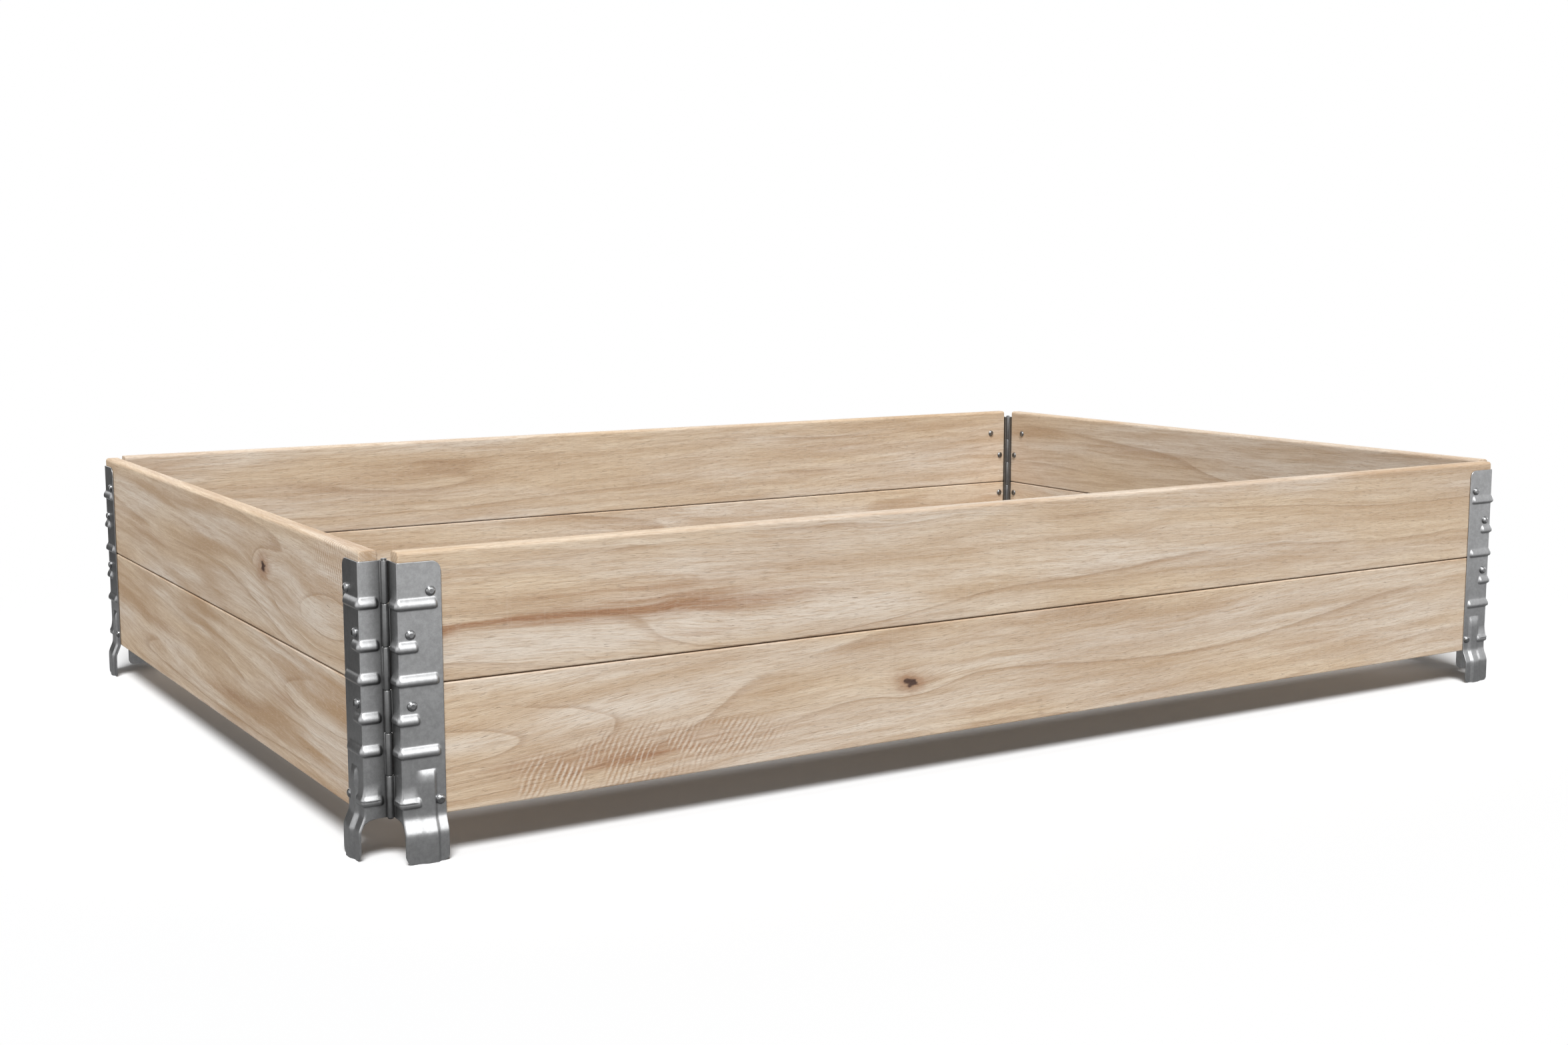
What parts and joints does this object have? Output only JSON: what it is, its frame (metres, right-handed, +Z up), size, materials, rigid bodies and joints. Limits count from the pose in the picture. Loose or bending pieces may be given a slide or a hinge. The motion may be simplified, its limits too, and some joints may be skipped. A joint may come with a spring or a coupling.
{
  "type": "raised bed frame",
  "caption": "Folding rectangular raised bed frame: planed wooden boards joined by pressed galvanised corner hinges with stepped feet, to hold soil and to stack.",
  "frame": {"origin": "on the ground, under the middle of the frame", "axes": "+X along the long walls to the right, +Y from the front wall to the back wall, +Z up"},
  "size_m": [1.2162, 0.8162, 0.2235],
  "materials": {
    "boards": "planed, untreated",
    "leaves": "satin galvanised",
    "pins_and_rivets": "satin zinc plated"
  },
  "bodies": {
    "front_wall": {"front_lower_board": "boards", "front_upper_board": "boards", "front_wall_leaf_at_front_left": "leaves", "front_wall_leaf_at_front_right": "leaves", "hinge_pin_front_right": "pins_and_rivets", "front_wall_rivet_1_at_front_left": "pins_and_rivets", "front_wall_rivet_2_at_front_left": "pins_and_rivets", "front_wall_rivet_3_at_front_left": "pins_and_rivets", "front_wall_rivet_4_at_front_left": "pins_and_rivets", "front_wall_rivet_1_at_front_right": "pins_and_rivets", "front_wall_rivet_2_at_front_right": "pins_and_rivets", "front_wall_rivet_3_at_front_right": "pins_and_rivets", "front_wall_rivet_4_at_front_right": "pins_and_rivets"},
    "right_wall": {"right_lower_board": "boards", "right_upper_board": "boards", "right_wall_leaf_at_front_right": "leaves", "right_wall_leaf_at_back_right": "leaves", "hinge_pin_back_right": "pins_and_rivets", "right_wall_rivet_1_at_front_right": "pins_and_rivets", "right_wall_rivet_2_at_front_right": "pins_and_rivets", "right_wall_rivet_3_at_front_right": "pins_and_rivets", "right_wall_rivet_4_at_front_right": "pins_and_rivets", "right_wall_rivet_1_at_back_right": "pins_and_rivets", "right_wall_rivet_2_at_back_right": "pins_and_rivets", "right_wall_rivet_3_at_back_right": "pins_and_rivets", "right_wall_rivet_4_at_back_right": "pins_and_rivets"},
    "back_wall": {"back_lower_board": "boards", "back_upper_board": "boards", "back_wall_leaf_at_back_right": "leaves", "back_wall_leaf_at_back_left": "leaves", "hinge_pin_back_left": "pins_and_rivets", "back_wall_rivet_1_at_back_right": "pins_and_rivets", "back_wall_rivet_2_at_back_right": "pins_and_rivets", "back_wall_rivet_3_at_back_right": "pins_and_rivets", "back_wall_rivet_4_at_back_right": "pins_and_rivets", "back_wall_rivet_1_at_back_left": "pins_and_rivets", "back_wall_rivet_2_at_back_left": "pins_and_rivets", "back_wall_rivet_3_at_back_left": "pins_and_rivets", "back_wall_rivet_4_at_back_left": "pins_and_rivets"},
    "left_wall": {"left_lower_board": "boards", "left_upper_board": "boards", "left_wall_leaf_at_back_left": "leaves", "left_wall_leaf_at_front_left": "leaves", "hinge_pin_front_left": "pins_and_rivets", "left_wall_rivet_1_at_back_left": "pins_and_rivets", "left_wall_rivet_2_at_back_left": "pins_and_rivets", "left_wall_rivet_3_at_back_left": "pins_and_rivets", "left_wall_rivet_4_at_back_left": "pins_and_rivets", "left_wall_rivet_1_at_front_left": "pins_and_rivets", "left_wall_rivet_2_at_front_left": "pins_and_rivets", "left_wall_rivet_3_at_front_left": "pins_and_rivets", "left_wall_rivet_4_at_front_left": "pins_and_rivets"}
  },
  "joints": [
    {"name": "front_left_hinge", "type": "hinge", "parent": "front_wall", "child": "left_wall", "pos_m": [-0.583, -0.383, 0.12], "axis": [0, 0, 1], "range_deg": [-89, 89]},
    {"name": "front_right_hinge", "type": "hinge", "parent": "front_wall", "child": "right_wall", "pos_m": [0.583, -0.383, 0.12], "axis": [0, 0, 1], "range_deg": [-89, 89]},
    {"name": "back_left_hinge", "type": "hinge", "parent": "left_wall", "child": "back_wall", "pos_m": [-0.583, 0.383, 0.12], "axis": [0, 0, 1], "range_deg": [-89, 89]}
  ],
  "couplings": [
    {"joint": "front_right_hinge", "follows": "front_left_hinge", "ratio": 1},
    {"joint": "back_left_hinge", "follows": "front_left_hinge", "ratio": -1}
  ]
}
